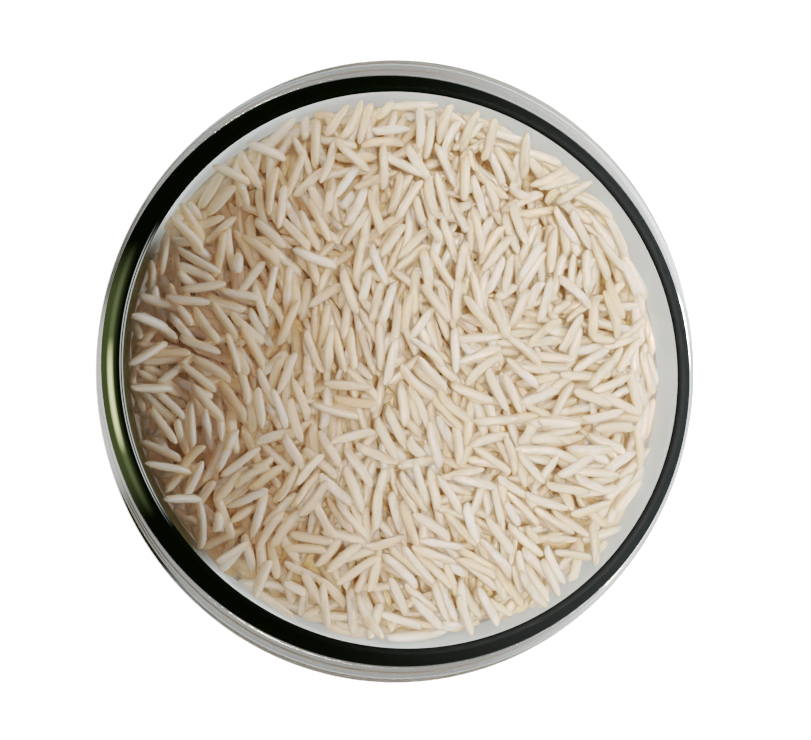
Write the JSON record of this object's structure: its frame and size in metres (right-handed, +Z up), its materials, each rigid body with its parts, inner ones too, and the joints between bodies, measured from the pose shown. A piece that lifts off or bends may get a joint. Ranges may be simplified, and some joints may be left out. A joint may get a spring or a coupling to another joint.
{
  "type": "glass bowl of uncooked long-grain rice",
  "caption": "Round clear glass bowl with a thick sloping lip and a thin flange, filled to just under its rim with raw long-grain white rice that lies uneven and dips at one side.",
  "frame": {"origin": "on the table, under the centre of the bowl's outline", "axes": "+Z up out of the bowl's mouth, +X to the right of the picture, +Y to its top and along the longer way across the oval flange"},
  "size_m": [0.1058, 0.1098, 0.06],
  "materials": {
    "clear_glass": "clear, polished, faintly green where it is thick",
    "raw_rice": "cream, slightly translucent grains with a soft sheen"
  },
  "bodies": {
    "root": {"glass_bowl": "clear_glass", "rice": "raw_rice"}
  },
  "joints": []
}
